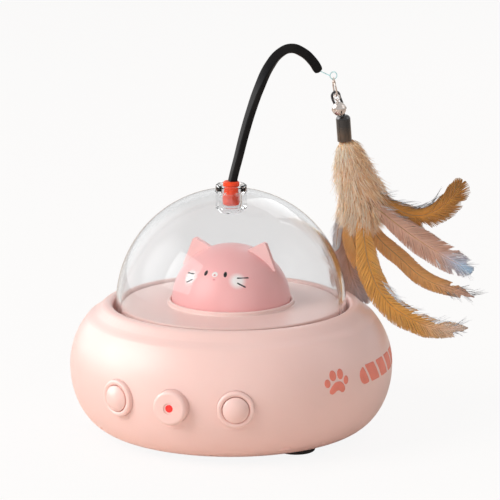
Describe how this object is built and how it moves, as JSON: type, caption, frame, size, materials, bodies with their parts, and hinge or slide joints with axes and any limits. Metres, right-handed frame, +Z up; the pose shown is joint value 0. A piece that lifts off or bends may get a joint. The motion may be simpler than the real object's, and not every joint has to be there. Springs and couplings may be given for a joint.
{
  "type": "electronic cat toy",
  "caption": "Saucer-shaped cat toy with a turning clear dome over a cat head, a bent feather wand, a laser lens and push buttons.",
  "frame": {"origin": "on the dome's axis of rotation, on the plane that the rubber feet rest on", "axes": "+Z up along the dome's axis; -Y towards the laser and the cat's face; +X to the toy's right as seen from the front"},
  "size_m": [0.1866, 0.1645, 0.1921],
  "materials": {
    "casing_pink": "satin moulded plastic",
    "head_pink": "satin moulded plastic",
    "clear_plastic": "polished, transparent",
    "black_rubber": "matt",
    "orange_silicone": "satin",
    "black_plastic": "satin",
    "clear_line": "polished, transparent",
    "bright_metal": "polished",
    "black_elastic": "braided",
    "cap_black": "gloss",
    "fluff_tan": "downy",
    "feather_ochre": "barbed",
    "feather_mauve": "barbed",
    "feather_white": "barbed",
    "laser_red": "polished",
    "white_plastic": "plain moulded",
    "gear_plastic": "plain moulded",
    "steel": "brushed",
    "brass": "turned",
    "board_green": "lacquered",
    "component_black": "plain",
    "battery_grey": "foil"
  },
  "bodies": {
    "base": {"top_casing": "casing_pink", "bottom_cover": "casing_pink", "rubber_feet": "black_rubber", "cover_screws": "steel", "chassis": "white_plastic", "chassis_screws": "steel", "gearbox": "component_black", "motor": "steel", "motor_clamp": "white_plastic", "clamp_screws": "steel", "deck_plate": "casing_pink", "deck_screws": "steel", "cat_head": "head_pink", "laser_bezel": "casing_pink", "laser_lens": "laser_red", "laser_module": "brass", "front_bracket": "white_plastic", "switch_boards": "board_green", "tact_switches": "component_black", "button_bezels": "casing_pink", "battery": "battery_grey", "circuit_board": "board_green", "board_components": "component_black", "board_screws": "steel", "charging_board": "board_green", "charging_socket": "steel"},
    "turntable": {"dome_cover": "clear_plastic", "turntable_ring": "gear_plastic"},
    "pinion": {"drive_pinion": "gear_plastic", "motor_shaft": "steel"},
    "left_button": {"left_button": "casing_pink"},
    "right_button": {"right_button": "casing_pink"},
    "wand": {"wand_plug": "orange_silicone", "wand_rod": "black_plastic", "line_loop": "clear_line"},
    "clasp": {"snap_clasp": "bright_metal"},
    "gate": {"clasp_gate": "bright_metal"},
    "jingle_bell": {"bell_ring": "bright_metal", "bell": "bright_metal", "bell_pea": "steel"},
    "lure": {"elastic_loop": "black_elastic", "end_cap": "cap_black", "feather_fluff": "fluff_tan", "feather_1": "feather_ochre", "feather_2": "feather_mauve", "feather_3": "feather_ochre", "feather_4": "feather_ochre", "feather_5": "feather_mauve", "feather_6": "feather_ochre", "feather_7": "feather_white"}
  },
  "joints": [
    {"name": "dome_spin", "type": "hinge", "parent": "base", "child": "turntable", "pos_m": [0, 0, 0.05], "axis": [0, 0, 1], "continuous": true},
    {"name": "pinion_spin", "type": "hinge", "parent": "base", "child": "pinion", "pos_m": [0, 0.035, 0.05], "axis": [0, 0, 1], "continuous": true},
    {"name": "left_push", "type": "slide", "parent": "base", "child": "left_button", "axis": [0.3746, 0.9272, 0], "range_m": [0, 0.001], "stiffness_N_per_m": 900},
    {"name": "right_push", "type": "slide", "parent": "base", "child": "right_button", "axis": [-0.3746, 0.9272, 0], "range_m": [0, 0.001], "stiffness_N_per_m": 900},
    {"name": "wand_pull", "type": "slide", "parent": "turntable", "child": "wand", "axis": [0, 0, 1], "range_m": [0, 0.016]},
    {"name": "clasp_swing", "type": "hinge", "parent": "wand", "child": "clasp", "pos_m": [0.04091, 0.03433, 0.1736], "axis": [0.766, 0.6428, 0], "range_deg": [-35, 35]},
    {"name": "gate_open", "type": "hinge", "parent": "clasp", "child": "gate", "pos_m": [0.04024, 0.03612, 0.16975], "axis": [-0.7555, -0.634, -0.165], "range_deg": [0, 15], "stiffness_Nm_per_rad": 0.0001},
    {"name": "bell_swing", "type": "hinge", "parent": "clasp", "child": "jingle_bell", "pos_m": [0.04199, 0.03524, 0.16512], "axis": [0.766, 0.6428, 0], "range_deg": [-30, 0]},
    {"name": "lure_swing", "type": "hinge", "parent": "clasp", "child": "lure", "pos_m": [0.04199, 0.03524, 0.16512], "axis": [0.6428, -0.766, 0], "range_deg": [0, 50]}
  ],
  "couplings": [
    {"joint": "pinion_spin", "follows": "dome_spin", "ratio": 6}
  ]
}
